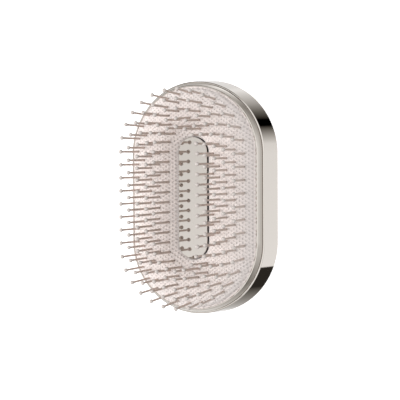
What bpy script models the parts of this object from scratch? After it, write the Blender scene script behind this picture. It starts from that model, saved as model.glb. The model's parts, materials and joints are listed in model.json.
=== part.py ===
"""Palm-size cushion brush with five rings of ball-tipped pins round a polished centre plate.

The brush lies on its flat back. X runs across it, Y along it and Z from the back to the pins. Every
ring-shaped piece is a section lofted round a racetrack: two straights joined by two half circles.
A point of a section is (radius, half straight, height): its distance from the racetrack's centre line,
the half length of the straight that it follows, and its height above the back face.
"""
import math

import bmesh
import bpy
import numpy
from mathutils import Matrix, Vector

MM = 0.001
HALF_TURN = math.pi

# Gaps between pieces
clearance = 0.30 * MM
glue_gap = 0.10 * MM
cut_overrun = 0.50 * MM
weld_distance = 0.0005 * MM

# Housing: sizes at the seam between back shell and bezel
body_length = 105.0 * MM
body_width = 65.2 * MM
body_depth = 14.5 * MM
wall_flare = 0.8 * MM
wall_thickness = 1.0 * MM
floor_thickness = 1.8 * MM
back_edge_radius = 0.8 * MM
seam_chamfer = 0.35 * MM
seam_land = 0.30 * MM

# Bezel: a steep, slightly rounded ring with a rolled crest that holds the cushion's outer bead
bezel_height = 3.7 * MM
lip_inset = 2.5 * MM
crest_rounding = 0.35 * MM
shoulder_angle = math.radians(62)
skirt_depth = 3.0 * MM

# Centre plate on its boss
plate_length = 54.9 * MM
plate_width = 13.9 * MM
plate_height = 4.75 * MM
plate_thickness = 0.5 * MM
plate_bevel = 0.25 * MM
boss_wall = 1.6 * MM
boss_top_thickness = 2.6 * MM

# Cushion: a crowned rubber membrane with a bead along both edges
crown_height = 9.6 * MM
edge_height = 3.3 * MM
crown_exponent = 2.3
cushion_thickness = 2.4 * MM
draw_in = 0.25 * MM
bead_width = 0.5 * MM
bead_height = 0.9 * MM
bead_top_height = 1.6 * MM
foot_width = 1.0 * MM
press_travel = 3.0 * MM

# Frame under the cushion
frame_wall = 1.4 * MM
web_thickness = 1.4 * MM
vent_diameter = 3.0 * MM

# Screws that hold the boss, hidden under the plate
screw_spacing = 30.0 * MM
screw_diameter = 2.2 * MM
screw_length = 12.0 * MM
screw_tip_length = 1.0 * MM
head_diameter = 4.2 * MM
head_height = 1.4 * MM
post_diameter = 6.4 * MM
post_height = 5.0 * MM
recess_depth = 0.9 * MM

# Pins, in rings that run parallel to the rim
ring_count = 5
first_ring_pin_count = 34
pins_added_per_ring = 2
phase_share = -0.085
inner_row_margin = 3.77 * MM
outer_row_margin = 3.77 * MM
row_stretch = 1.3 * MM
straight_pitch_shares = (1.0, 0.99, 0.985, 0.98, 0.98)
tip_height = 23.4 * MM
tip_height_shares = (0.995, 0.998, 1.0, 0.993, 0.949)
lean_shares = (-0.022, -0.032, 0.010, 0.052, 0.091)
pin_base_diameter = 1.05 * MM
pin_neck_diameter = 0.84 * MM
ball_diameter = 1.6 * MM
neck_length_share = 0.62
root_share = 0.55
strip_width = 1.7 * MM
strip_thickness = 1.0 * MM

# Facets
visible_arc_steps = 30
hidden_arc_steps = 20
cushion_arc_steps = 15
curve_steps = 5
flank_steps = 3
crest_steps = 6
round_sides = 16
pin_sides = 4
sharp_angle = math.radians(35)

# Worked out from the sizes above
seam = body_depth
rim_radius = body_width / 2
rim_straight = (body_length - body_width) / 2
plate_radius = plate_width / 2
plate_straight = (plate_length - plate_width) / 2
row_straight = rim_straight + row_stretch
inner_edge = plate_radius + clearance
skirt_outer = rim_radius - wall_thickness - clearance
lip_radius = rim_radius - lip_inset
outer_edge = lip_radius - clearance
bead_top = seam + bead_top_height
bead_bottom = bead_top - bead_height
frame_top = bead_bottom - clearance
frame_bottom = floor_thickness + glue_gap
boss_radius = inner_edge - bead_width - clearance
plate_top = seam + plate_height
plate_bottom = plate_top - plate_thickness
boss_top = plate_bottom - glue_gap
row_span = outer_edge - outer_row_margin - inner_edge - inner_row_margin
row_pitch = row_span / (ring_count - 1)
groove_depth = strip_thickness + clearance
post_top = floor_thickness + post_height


def crown(radius):
    """Height of the cushion's top surface above the back face."""
    middle = (inner_edge + outer_edge) / 2
    share = abs(radius - middle) / (outer_edge - middle)
    return seam + edge_height + (crown_height - edge_height) * (1 - share ** crown_exponent)


def row_radius(ring):
    return inner_edge + inner_row_margin + ring * row_pitch


def collection(name):
    made = bpy.data.collections.new(name)
    bpy.context.scene.collection.children.link(made)
    return made


def material(name, colour, roughness, metallic=0.0):
    made = bpy.data.materials.new(name)
    made.use_nodes = True
    shader = made.node_tree.nodes["Principled BSDF"]
    shader.inputs["Base Color"].default_value = (*colour, 1.0)
    shader.inputs["Roughness"].default_value = roughness
    shader.inputs["Metallic"].default_value = metallic
    made.diffuse_color = (*colour, 1.0)
    return made


def add_object(name, bm, group, finish=None):
    """Closes the bmesh's seams, turns its faces outward, smooths it and links it as an object."""
    bmesh.ops.remove_doubles(bm, verts=bm.verts, dist=weld_distance)
    bmesh.ops.recalc_face_normals(bm, faces=bm.faces)
    mesh = bpy.data.meshes.new(name)
    bm.to_mesh(mesh)
    bm.free()
    mesh.shade_smooth()
    mesh.set_sharp_from_angle(angle=sharp_angle)
    made = bpy.data.objects.new(name, mesh)
    group.objects.link(made)
    if finish:
        mesh.materials.append(finish)
    return made


def stations(arc_steps):
    """The stops of a full lap: (share of the half straight, angle) for each."""
    turns = [HALF_TURN * step / arc_steps for step in range(arc_steps + 1)]
    return [(1, turn) for turn in turns] + [(-1, HALF_TURN + turn) for turn in turns]


def place(station, point):
    share, angle = station
    radius, straight, height = point
    return Vector((radius * math.cos(angle), share * straight + radius * math.sin(angle), height))


def loft(section, stops, closed_section=True, lap=True):
    """Extrudes a section from stop to stop; a lap joins up with its start, anything else gets end caps."""
    bm = bmesh.new()
    number = bm.verts.layers.int.new("section_point")
    verts = []
    for index, point in enumerate(section):
        vert = bm.verts.new(place(stops[0], point))
        vert[number] = index
        verts.append(vert)
    ends = verts[1:] + verts[:1] if closed_section else verts[1:]
    edges = [bm.edges.new(pair) for pair in zip(verts, ends)]
    if not lap:
        bm.faces.new(verts)
    for stop in stops[1:] + (stops[:1] if lap else []):
        grown = bmesh.ops.extrude_edge_only(bm, edges=edges)["geom"]
        edges = [item for item in grown if isinstance(item, bmesh.types.BMEdge)]
        moved = [item for item in grown if isinstance(item, bmesh.types.BMVert)]
        for vert in moved:
            vert.co = place(stop, section[vert[number]])
    if not lap:
        bmesh.ops.contextual_create(bm, geom=edges)
    return bm


def arc_between(start, end, sweep, steps, straight):
    """Points of an arc that turns anticlockwise through sweep, from start to end, both (radius, height)."""
    chord = Vector(end) - Vector(start)
    heading = math.atan2(chord.y, chord.x) - sweep / 2
    side = chord.length * math.sin(sweep / (2 * steps)) / math.sin(sweep / 2)
    point = Vector(start)
    points = [(*point, straight)]
    for step in range(steps):
        turned = heading + sweep * (step + 1 / 2) / steps
        point = point + side * Vector((math.cos(turned), math.sin(turned)))
        points.append((*point, straight))
    return [(radius, straight, height) for radius, height, straight in points]


def cylinder(name, diameter, low, high, spot, group):
    """An upright cylinder, used to cut or to join."""
    bm = bmesh.new()
    middle = Matrix.Translation((spot[0], spot[1], (low + high) / 2))
    bmesh.ops.create_cone(bm, cap_ends=True, segments=round_sides, radius1=diameter / 2,
                          radius2=diameter / 2, depth=high - low, matrix=middle)
    return add_object(name, bm, group)


def combine(target, tool, operation):
    """Applies an exact boolean and keeps the tool as a hidden wire object."""
    step = target.modifiers.new(f"{operation.title()} {tool.name}", "BOOLEAN")
    step.operation = operation
    step.solver = "EXACT"
    step.object = tool
    tool.hide_render = True
    tool.display_type = "WIRE"


def screw_spots():
    return [(0, screw_spacing / 2), (0, -screw_spacing / 2)]


def build_back_shell(parts, cutters, finish):
    flared = rim_radius + wall_flare
    corner = [(0, rim_straight, 0)]
    corner += arc_between((flared - back_edge_radius, 0), (flared, back_edge_radius), HALF_TURN / 2,
                          curve_steps, rim_straight)
    wall = [
        (rim_radius, rim_straight, seam - seam_chamfer),
        (rim_radius - seam_chamfer, rim_straight, seam),
        (rim_radius - wall_thickness, rim_straight, seam),
        (flared - wall_thickness, rim_straight, floor_thickness),
        (0, rim_straight, floor_thickness),
    ]
    bm = loft(corner + wall, stations(visible_arc_steps), closed_section=False)
    shell = add_object("back_shell", bm, parts, finish)
    for number, spot in enumerate(screw_spots(), 1):
        low = floor_thickness / 2
        post = cylinder(f"shell_post_{number}", post_diameter, low, post_top, spot, cutters)
        combine(shell, post, "UNION")
        high = post_top + cut_overrun
        pilot = cylinder(f"pilot_hole_{number}", screw_diameter + 2 * glue_gap, low, high, spot, cutters)
        combine(shell, pilot, "DIFFERENCE")


def build_bezel(parts, finish):
    foot_radius = rim_radius - seam_chamfer - seam_land
    foot = seam + clearance
    crest_middle = Vector((lip_radius + crest_rounding, seam + bezel_height - crest_rounding))
    shoulder_normal = Vector((math.sin(shoulder_angle), math.cos(shoulder_angle)))
    shoulder = crest_middle + crest_rounding * shoulder_normal
    lip_edge = crest_middle - Vector((crest_rounding, 0))
    flank_angle = math.atan2(shoulder.y - foot, foot_radius - shoulder.x)
    flank_sweep = 2 * (flank_angle - shoulder_angle)
    crest_sweep = HALF_TURN / 2 + shoulder_angle
    lip_bottom = bead_top + clearance
    skirt_inner = outer_edge + bead_width + clearance
    skirt_bottom = seam - skirt_depth
    section = arc_between((foot_radius, foot), shoulder, flank_sweep, flank_steps, rim_straight)
    section += arc_between(shoulder, lip_edge, crest_sweep, crest_steps, rim_straight)[1:]
    section += [
        (lip_radius, rim_straight, lip_bottom),
        (skirt_inner, rim_straight, lip_bottom),
        (skirt_inner, rim_straight, skirt_bottom),
        (skirt_outer, rim_straight, skirt_bottom),
        (skirt_outer, rim_straight, foot),
    ]
    add_object("bezel_ring", loft(section, stations(visible_arc_steps)), parts, finish)


def build_frame(parts, cutters, finish):
    outer = outer_edge + bead_width
    outer_face = outer - frame_wall
    inner = boss_radius + clearance
    inner_face = inner + frame_wall
    web_top = frame_top - press_travel
    web_bottom = web_top - web_thickness
    section = [
        (outer, rim_straight, frame_bottom),
        (outer, rim_straight, frame_top),
        (outer_face, rim_straight, frame_top),
        (outer_face, rim_straight, web_top),
        (inner_face, plate_straight, web_top),
        (inner_face, plate_straight, frame_top),
        (inner, plate_straight, frame_top),
        (inner, plate_straight, frame_bottom),
        (inner_face, plate_straight, frame_bottom),
        (inner_face, plate_straight, web_bottom),
        (outer_face, rim_straight, web_bottom),
        (outer_face, rim_straight, frame_bottom),
    ]
    frame = add_object("pad_frame", loft(section, stations(hidden_arc_steps)), parts, finish)
    across = (inner_face + outer_face) / 2
    spots = [(across, rim_straight / 2), (across, -rim_straight / 2)]
    spots += [(-x, y) for x, y in spots]
    for number, spot in enumerate(spots, 1):
        low, high = web_bottom - cut_overrun, web_top + cut_overrun
        vent = cylinder(f"vent_{number}", vent_diameter, low, high, spot, cutters)
        combine(frame, vent, "DIFFERENCE")


def build_boss(parts, cutters, finish):
    collar_bottom = bead_top + clearance
    hollow_radius = boss_radius - boss_wall
    hollow_top = boss_top - boss_top_thickness
    section = [
        (0, plate_straight, hollow_top),
        (hollow_radius, plate_straight, hollow_top),
        (hollow_radius, plate_straight, frame_bottom),
        (boss_radius, plate_straight, frame_bottom),
        (boss_radius, plate_straight, collar_bottom),
        (plate_radius, plate_straight, collar_bottom),
        (plate_radius, plate_straight, boss_top),
        (0, plate_straight, boss_top),
    ]
    bm = loft(section, stations(hidden_arc_steps), closed_section=False)
    boss = add_object("centre_boss", bm, parts, finish)
    for number, spot in enumerate(screw_spots(), 1):
        low = post_top + glue_gap
        high = hollow_top + boss_top_thickness / 2
        post = cylinder(f"boss_post_{number}", post_diameter, low, high, spot, cutters)
        combine(boss, post, "UNION")
        bore_width = screw_diameter + 2 * clearance
        bore = cylinder(f"screw_bore_{number}", bore_width, low - cut_overrun, high, spot, cutters)
        combine(boss, bore, "DIFFERENCE")
        seat = boss_top - recess_depth - head_height
        seat_width = head_diameter + 2 * clearance
        recess = cylinder(f"screw_recess_{number}", seat_width, seat, boss_top + cut_overrun, spot, cutters)
        combine(boss, recess, "DIFFERENCE")


def build_plate(parts, finish):
    section = [
        (0, plate_straight, plate_bottom),
        (plate_radius, plate_straight, plate_bottom),
        (plate_radius, plate_straight, plate_top - plate_bevel),
        (plate_radius - plate_bevel, plate_straight, plate_top),
        (0, plate_straight, plate_top),
    ]
    bm = loft(section, stations(visible_arc_steps), closed_section=False)
    add_object("centre_plate", bm, parts, finish)


def build_screws(parts, finish):
    head_bottom = boss_top - recess_depth - head_height + glue_gap
    shank_bottom = head_bottom - screw_length + screw_tip_length
    profile = [
        (0, head_bottom + head_height),
        (head_diameter / 2, head_bottom + head_height),
        (head_diameter / 2, head_bottom),
        (screw_diameter / 2, head_bottom),
        (screw_diameter / 2, shank_bottom),
        (0, head_bottom - screw_length),
    ]
    for number, spot in enumerate(screw_spots(), 1):
        bm = bmesh.new()
        verts = [bm.verts.new((radius, 0, height - head_bottom)) for radius, height in profile]
        for pair in zip(verts, verts[1:]):
            bm.edges.new(pair)
        screw = add_object(f"boss_screw_{number}", bm, parts, finish)
        screw.location = (*spot, head_bottom)
        turn = screw.modifiers.new("Turn", "SCREW")
        turn.steps = round_sides
        turn.render_steps = round_sides
        turn.use_merge_vertices = True
        turn.merge_threshold = weld_distance


def groove(radius):
    """The channel that holds a ring's strips, from its inner to its outer top edge."""
    reach = strip_width / 2 + clearance
    edges = (radius - reach, radius + reach)
    tops = [(edge, row_straight, crown(edge)) for edge in edges]
    floors = [(edge, row_straight, crown(edge) - groove_depth) for edge in edges]
    return [tops[0], floors[0], floors[1], tops[1]]


def build_cushion(parts, finish):
    rows = [row_radius(ring) for ring in range(ring_count)]
    section = [(inner_edge, plate_straight, crown(inner_edge))]
    for radius in rows:
        section += groove(radius)
    section += [
        (outer_edge, rim_straight, crown(outer_edge)),
        (outer_edge - draw_in, rim_straight, bead_top),
        (outer_edge + bead_width, rim_straight, bead_top),
        (outer_edge + bead_width, rim_straight, bead_bottom),
        (outer_edge - foot_width, rim_straight, bead_bottom),
    ]
    section += [(radius, row_straight, crown(radius) - cushion_thickness) for radius in reversed(rows)]
    section += [
        (inner_edge + foot_width, plate_straight, bead_bottom),
        (inner_edge - bead_width, plate_straight, bead_bottom),
        (inner_edge - bead_width, plate_straight, bead_top),
        (inner_edge + draw_in, plate_straight, bead_top),
    ]
    add_object("cushion", loft(section, stations(cushion_arc_steps)), parts, finish)


def lap_station(radius, distance):
    """The stop that lies a distance along a ring, counted anticlockwise from its right-hand middle."""
    arc = HALF_TURN * radius
    lap = 4 * row_straight + 2 * arc
    distance %= lap
    if distance < row_straight:
        return distance / row_straight, 0
    if distance < row_straight + arc:
        return 1, (distance - row_straight) / radius
    if distance < 3 * row_straight + arc:
        return 1 - (distance - row_straight - arc) / row_straight, HALF_TURN
    if distance < 3 * row_straight + 2 * arc:
        return -1, HALF_TURN + (distance - 3 * row_straight - arc) / radius
    return (distance - lap) / row_straight, 2 * HALF_TURN


def facet_stops(radius):
    """Distances along a ring at which the cushion's own facets meet, so that the strips' facets match."""
    arc = HALF_TURN * radius
    starts = (row_straight, 3 * row_straight + arc)
    steps = range(cushion_arc_steps + 1)
    return [start + arc * step / cushion_arc_steps for start in starts for step in steps]


def pin(ring, radius, distance):
    """One ball-tipped pin, leaning with its ring, as a bmesh to add to a strip's tool."""
    share, angle = lap_station(radius, distance)
    foot = place((share, angle), (radius, row_straight, crown(radius)))
    height = seam + tip_height * tip_height_shares[ring] - foot.z
    outward = Vector((math.cos(angle), math.sin(angle), 0))
    axis = Vector((0, 0, 1)) + outward * lean_shares[ring]
    ball = ball_diameter / 2
    profile = [
        (0, -strip_thickness * root_share),
        (pin_base_diameter / 2, -strip_thickness * root_share),
        (pin_neck_diameter / 2, height - ball * neck_length_share),
        (ball, height),
        (0, height + ball),
    ]
    bm = bmesh.new()
    verts = [bm.verts.new((across, 0, up)) for across, up in profile]
    edges = [bm.edges.new(pair) for pair in zip(verts, verts[1:])]
    bmesh.ops.spin(bm, geom=verts + edges, cent=(0, 0, 0), axis=(0, 0, 1), angle=2 * HALF_TURN,
                   steps=pin_sides, use_merge=True)
    lean = Vector((0, 0, 1)).rotation_difference(axis).to_matrix().to_4x4()
    turn = Matrix.Rotation(angle, 4, "Z")
    bm.transform(Matrix.Translation(foot) @ lean @ turn)
    return bm


def join_bmeshes(pieces):
    whole = bmesh.new()
    for piece in pieces:
        mesh = bpy.data.meshes.new("piece")
        piece.to_mesh(mesh)
        piece.free()
        whole.from_mesh(mesh)
        bpy.data.meshes.remove(mesh)
    return whole


def end_pitch(ring, pins, radius):
    """Pitch of a ring's pins round the ends; along the straights it is the ring's share of that."""
    return (4 * row_straight / straight_pitch_shares[ring] + 2 * HALF_TURN * radius) / pins


def pin_distances(ring, pins, radius):
    """Distances of a ring's pins along it, the first of them at the middle of the top end."""
    arc = HALF_TURN * radius
    straight = 2 * row_straight
    counted = numpy.cumsum([-arc / 2] + [arc, straight / straight_pitch_shares[ring]] * 2 + [arc])
    measured = numpy.cumsum([row_straight] + [arc, straight] * 2 + [arc])
    steps = (numpy.arange(pins) + phase_share) * end_pitch(ring, pins, radius)
    return [float(distance) for distance in numpy.interp(steps, counted, measured)]


def pin_rows(ring, pins, radius):
    """Splits a ring's pins into six rows, as lists of distances: one on each straight, two round each end."""
    rows = {}
    for number, distance in enumerate(pin_distances(ring, pins, radius)):
        share, _ = lap_station(radius, distance)
        side = "left" if number < pins / 2 else "right"
        end = {1: "top_", -1: "bottom_"}.get(share, "")
        rows.setdefault(end + side, []).append(distance)
    return rows


def build_strip(name, ring, radius, start, end, pin_distances, parts, cutters, finish):
    reach = strip_width / 2
    edges = (radius + reach, radius - reach)
    section = [(edge, row_straight, crown(edge)) for edge in edges]
    section += [(edge, row_straight, crown(edge) - strip_thickness) for edge in reversed(edges)]
    lap = 4 * row_straight + 2 * HALF_TURN * radius
    between = [stop + turn for stop in facet_stops(radius) for turn in (-lap, 0, lap)]
    distances = [start] + sorted(stop for stop in between if start < stop < end) + [end]
    stops = [lap_station(radius, distance) for distance in distances]
    strip = add_object(name, loft(section, stops, lap=False), parts, finish)
    pins = join_bmeshes([pin(ring, radius, distance) for distance in pin_distances])
    tool = add_object(f"{name}_pins", pins, cutters)
    combine(strip, tool, "UNION")


def build_pin_rows(parts, cutters, finish):
    for ring in range(ring_count):
        radius = row_radius(ring)
        pins = first_ring_pin_count + ring * pins_added_per_ring
        pitch = end_pitch(ring, pins, radius) * straight_pitch_shares[ring]
        for row, distances in pin_rows(ring, pins, radius).items():
            start = distances[0] - (pitch - clearance) / 2
            end = distances[-1] + (pitch - clearance) / 2
            name = f"pin_row_{ring + 1}_{row}"
            build_strip(name, ring, radius, start, end, distances, parts, cutters, finish)


def main():
    for item in list(bpy.context.scene.objects):
        bpy.data.objects.remove(item)
    parts = collection("cushion_brush")
    cutters = collection("cutters")
    build_back_shell(parts, cutters, material("back_shell", (0.70, 0.66, 0.61), 0.12, 1.0))
    build_bezel(parts, material("bezel_ring", (0.66, 0.61, 0.55), 0.18, 1.0))
    build_frame(parts, cutters, material("pad_frame", (0.55, 0.51, 0.48), 0.5))
    build_boss(parts, cutters, material("centre_boss", (0.12, 0.11, 0.10), 0.4))
    build_plate(parts, material("centre_plate", (0.72, 0.68, 0.63), 0.08, 1.0))
    build_screws(parts, material("boss_screw", (0.60, 0.60, 0.60), 0.3, 1.0))
    build_cushion(parts, material("cushion", (0.74, 0.66, 0.62), 0.6))
    build_pin_rows(parts, cutters, material("pin_row", (0.36, 0.28, 0.25), 0.35))


main()
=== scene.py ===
"""Cushion brush: a polished palm-size body, a crowned rubber cushion and five rings of ball-tipped pins.

The brush lies on its flat back. X runs across it, Y along it and Z from the back to the pins, in metres.
Every ring-shaped piece is a section swept round a racetrack. A point of a section is (radius, half
straight, height): its distance from the racetrack's centre line, the half length of the straight that it
follows, and its height above the back face.
"""

import cmath
import json
import math

import bmesh
import bpy
import numpy as np
from mathutils import Matrix, Vector

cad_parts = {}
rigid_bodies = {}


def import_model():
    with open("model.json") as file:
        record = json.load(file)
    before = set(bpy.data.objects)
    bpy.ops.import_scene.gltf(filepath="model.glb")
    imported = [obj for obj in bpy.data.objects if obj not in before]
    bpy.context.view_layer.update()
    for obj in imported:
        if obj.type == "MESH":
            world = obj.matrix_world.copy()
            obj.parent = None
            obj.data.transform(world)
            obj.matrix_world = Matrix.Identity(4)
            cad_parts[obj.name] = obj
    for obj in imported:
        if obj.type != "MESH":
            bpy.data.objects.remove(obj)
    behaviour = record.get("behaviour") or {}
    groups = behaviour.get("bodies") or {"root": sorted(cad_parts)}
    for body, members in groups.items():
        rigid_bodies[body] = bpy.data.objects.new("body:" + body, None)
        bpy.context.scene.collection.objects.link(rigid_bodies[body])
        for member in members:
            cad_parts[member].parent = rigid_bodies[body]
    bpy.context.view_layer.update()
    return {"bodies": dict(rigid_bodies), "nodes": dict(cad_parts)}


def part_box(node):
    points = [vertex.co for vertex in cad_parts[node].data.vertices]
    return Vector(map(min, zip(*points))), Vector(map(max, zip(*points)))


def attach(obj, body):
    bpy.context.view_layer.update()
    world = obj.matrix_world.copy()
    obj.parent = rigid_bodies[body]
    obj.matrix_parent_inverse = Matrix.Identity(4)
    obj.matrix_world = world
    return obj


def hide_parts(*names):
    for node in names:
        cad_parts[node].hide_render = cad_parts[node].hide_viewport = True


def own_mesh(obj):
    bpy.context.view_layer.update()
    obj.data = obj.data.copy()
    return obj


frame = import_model()

bl_info = {
    "name": "Cushion Brush",
    "version": (1, 0, 0),
    "blender": (4, 5, 0),
    "location": "3D View > Sidebar > Brush",
    "description": "Builds a palm-size cushion brush piece by piece, with its finishes and a plain studio",
    "category": "Add Mesh",
}

MM = 0.001
HALF_TURN = math.pi
QUARTER_TURN = HALF_TURN / 2
SHELL_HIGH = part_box("back_shell")[1]
BEZEL_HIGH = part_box("bezel_ring")[1]
PLATE_LOW, PLATE_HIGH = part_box("centre_plate")
RING_COUNT = sum(name.startswith("pin_ring_") for name in frame["bodies"])
ROW_ENDS = ("right", "top_right", "top_left", "left", "bottom_left", "bottom_right")


# ---------------------------------------------------------------- properties


def length(name, default_mm, description):
    """A length with its default in millimetres."""
    return bpy.props.FloatProperty(name=name, description=description, default=default_mm * MM,
                                   subtype="DISTANCE", unit="LENGTH", precision=5)


def share(name, default, description):
    """A plain number."""
    return bpy.props.FloatProperty(name=name, description=description, default=default, precision=4)


def count(name, default, description):
    """A whole number."""
    return bpy.props.IntProperty(name=name, description=description, default=default)


def by_ring(name, default, description):
    """A number for each ring of pins, from the inside out."""
    return bpy.props.FloatVectorProperty(name=name, description=description, default=default,
                                         size=len(default))


def angle(name, degrees, description):
    """An angle with its default in degrees."""
    return bpy.props.FloatProperty(name=name, description=description, default=math.radians(degrees),
                                   subtype="ANGLE", unit="ROTATION")


def watts(name, default, description):
    """The power of a lamp."""
    return bpy.props.FloatProperty(name=name, description=description, default=default,
                                   subtype="POWER", unit="POWER")


def colour(name, default, description):
    """A colour as red, green and blue from 0 to 1."""
    return bpy.props.FloatVectorProperty(name=name, description=description, default=default,
                                         subtype="COLOR", size=3, min=0.0, max=1.0)


class BrushHousing(bpy.types.PropertyGroup):
    """Sizes of the metal body and its bezel that the frame's boxes don't give."""
    wall_swell: length("Wall Swell", 0.08, "How far the polished wall stands out from the solid one")
    wall_flare: length("Wall Flare", 0.76, "How far the side wall spreads from the seam to the back")
    wall_thickness: length("Wall Thickness", 1.0, "Thickness of the side wall")
    floor_thickness: length("Back Thickness", 1.8, "Thickness of the flat back")
    back_rounding: length("Back Edge Rounding", 0.15, "Radius of the edge between wall and back")
    seam_rounding: length("Seam Edge Rounding", 0.45, "Radius of the wall's upper edge")
    seam_land: length("Seam Land", 0.2, "Width of the flat ledge between the wall's edge and the bezel")
    seam_groove: length("Seam Groove", 0.5, "Depth of the groove between the ledge and the bezel")
    lip_inset: length("Lip Inset", 2.62, "Distance from the rim to the bezel's inner face")
    crest_rounding: length("Crest Rounding", 0.35, "Radius of the bezel's rolled crest")
    lip_rounding: length("Lip Rounding", 0.03, "Radius of the bezel's inner edge")
    lip_shift: length("Lip Shift", 0.16, "How much further out the polished lip stands than the solid one")
    shoulder_tilt: angle("Shoulder Tilt", 62.0, "Tilt from upright of the bezel's face under the crest")
    foot_rounding: length("Foot Rounding", 0.15, "Radius of the bezel's lower outer edge")
    skirt_depth: length("Skirt Depth", 3.0, "Depth of the bezel's hidden skirt below the seam")
    skirt_gap: length("Skirt Gap", 0.3, "Gap between the skirt and its neighbours")


class BrushPlate(bpy.types.PropertyGroup):
    """Sizes of the centre plate."""
    edge_rounding: length("Edge Rounding", 0.12, "Radius of the plate's upper edge")


class BrushCushion(bpy.types.PropertyGroup):
    """Shape of the rubber cushion and of the fine pits in it."""
    crown_height: length("Crown Height", 9.6, "Height of the crown above the seam")
    edge_height: length("Edge Height", 3.3, "Height of the cushion's edges above the seam")
    crown_power: share("Crown Fullness", 2.3, "Higher values give a flatter crown with steeper sides")
    thickness: length("Thickness", 2.4, "Thickness of the rubber")
    edge_gap: length("Edge Gap", 0.3, "Gap between the solid cushion's edges and the plate or the bezel")
    lip_gap: length("Lip Gap", 0.03, "What the soft edge leaves of that gap at the bezel")
    lip_rise: length("Lip Rise", 0.1, "How far the soft edge climbs against the bezel")
    draw_in: length("Draw-in", 0.25, "How far the sides pull in above the beads")
    bead_width: length("Bead Width", 0.5, "How far the hidden beads stand out")
    bead_height: length("Bead Height", 0.9, "Height of the hidden beads")
    bead_top: length("Bead Top", 1.6, "Height of the beads' tops above the seam")
    foot_width: length("Foot Width", 1.0, "Width of the beads' undersides")
    edge_rounding: length("Edge Rounding", 0.3, "Radius of the cushion's upper edges")
    dimple_depth: length("Dimple Depth", 0.15, "Depth of the dimple round each pin")
    dimple_width: length("Dimple Width", 0.75, "Spread of the dimple round each pin")
    pit_radius: length("Pit Radius", 0.54, "Radius of one moulded pit")
    pit_depth: length("Pit Depth", 0.3, "Depth of one moulded pit")
    pit_column: length("Pit Column", 2.33, "Distance after which the pits repeat across the brush")
    pit_row: length("Pit Row", 1.77, "Distance after which the pits repeat along the brush")


class BrushPins(bpy.types.PropertyGroup):
    """Sizes of the ball-tipped pins and how they stand."""
    first_ring: count("Pins In First Ring", 34, "Number of pins in the innermost ring")
    added: count("Pins Added", 2, "How many more pins each ring has than the one inside it")
    phase: share("Phase", -0.085, "Where the first pin stands, as a share of the pitch")
    first_margin: length("First Row Margin", 3.77, "Distance from the cushion's edge to the first ring")
    row_pitch: length("Ring Pitch", 3.7525, "Distance from ring to ring")
    row_stretch: length("Ring Stretch", 1.3, "Extra half length of the rings' straights")
    pitch_shares: by_ring("Straight Pitch Shares", (1.0, 0.99, 0.985, 0.98, 0.98),
                          "Each ring's pitch on the straights over its end pitch")
    tip_height: length("Tip Height", 23.4, "Height of the middle ring's balls above the seam")
    tip_shares: by_ring("Tip Height Shares", (0.995, 0.998, 1.0, 0.993, 0.949),
                        "Height of each ring's balls over the middle ring's")
    leans: by_ring("Leans", (-0.022, -0.032, 0.010, 0.052, 0.091),
                   "Outward lean of each ring's pins, as a slope")
    base_diameter: length("Base Diameter", 1.05, "Diameter of a pin where it leaves the cushion")
    neck_diameter: length("Neck Diameter", 0.9, "Diameter of a pin under its ball")
    ball_diameter: length("Ball Diameter", 1.85, "Diameter of the ball tip")
    root: length("Root", 0.55, "Depth of a pin's root in the rubber")


class BrushFinish(bpy.types.PropertyGroup):
    """Colours of the materials."""
    shell: colour("Shell Metal", (0.71, 0.665, 0.617), "Colour of the polished side wall and back")
    bezel: colour("Bezel Metal", (0.71, 0.663, 0.615), "Colour of the polished bezel")
    plate: colour("Plate Metal", (0.71, 0.665, 0.617), "Colour of the mirror-polished plate")
    steel: colour("Screw Steel", (0.60, 0.60, 0.60), "Colour of the hidden screws")
    rubber: colour("Cushion Rubber", (0.86, 0.785, 0.755), "Colour of the cushion")
    pin: colour("Pin Nylon", (0.55, 0.45, 0.395), "Colour of the pins' shafts")
    # The tip colour is paler than the shaft's: partly the balls' own colour, partly a painted highlight.
    tip_with_painted_highlight: colour("Tip Nylon", (0.55, 0.50, 0.47), "Colour of the pins' ball tips")
    boss: colour("Boss Plastic", (0.010, 0.010, 0.011), "Colour of the dark boss under the plate")
    frame: colour("Frame Plastic", (0.42, 0.39, 0.36), "Colour of the hidden frame")


class BrushStage(bpy.types.PropertyGroup):
    """The floor, the light and the camera."""
    floor_width: length("Floor Width", 4000.0, "Side of the square floor")
    floor_level: share("Floor Level", 0.6, "Light that the floor adds to its own shading for the camera")
    key_power: watts("Key Power", 1.42, "Power of the small lamp at the left")
    key_size: length("Key Size", 220.0, "Side of the small lamp")
    top_power: watts("Top Power", 5.2, "Power of the large soft lamp above")
    top_size: length("Top Size", 600.0, "Side of the large soft lamp")
    lamp_distance: length("Lamp Distance", 800.0, "Distance of the lamps from the brush")
    fill: share("Fill", 0.50, "Level of the even fill light")
    lens: bpy.props.FloatProperty(name="Lens", default=145.02, subtype="DISTANCE_CAMERA",
                                  description="Focal length in millimetres on a 36 mm sensor")
    yaw: angle("Camera Yaw", 24.32419, "How far the camera stands to the right of straight above")
    pitch: angle("Camera Pitch", 1.84280, "How far the camera stands towards the upper end")
    roll: angle("Camera Roll", -0.23380, "Roll of the camera about its view")
    reach: length("Camera Distance", 729.83, "Distance of the camera from the seam plane's middle")
    shift_x: length("Camera Offset X", 1.280, "Sideways offset of the camera")
    shift_y: length("Camera Offset Y", -1.062, "Lengthwise offset of the camera")


GROUPS = {
    "brush_housing": BrushHousing,
    "brush_plate": BrushPlate,
    "brush_cushion": BrushCushion,
    "brush_pins": BrushPins,
    "brush_finish": BrushFinish,
    "brush_stage": BrushStage,
}


# ---------------------------------------------------------------- racetrack sizes

SMOOTH_LAP = 96
GUARD = 0.04 * MM
STRAIGHT_GUARD = 0.985
WELD, PIN_WELD = 0.0001 * MM, 0.001 * MM


def seam_height():
    """Height of the seam between the wall and the bezel."""
    return SHELL_HIGH.z


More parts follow.
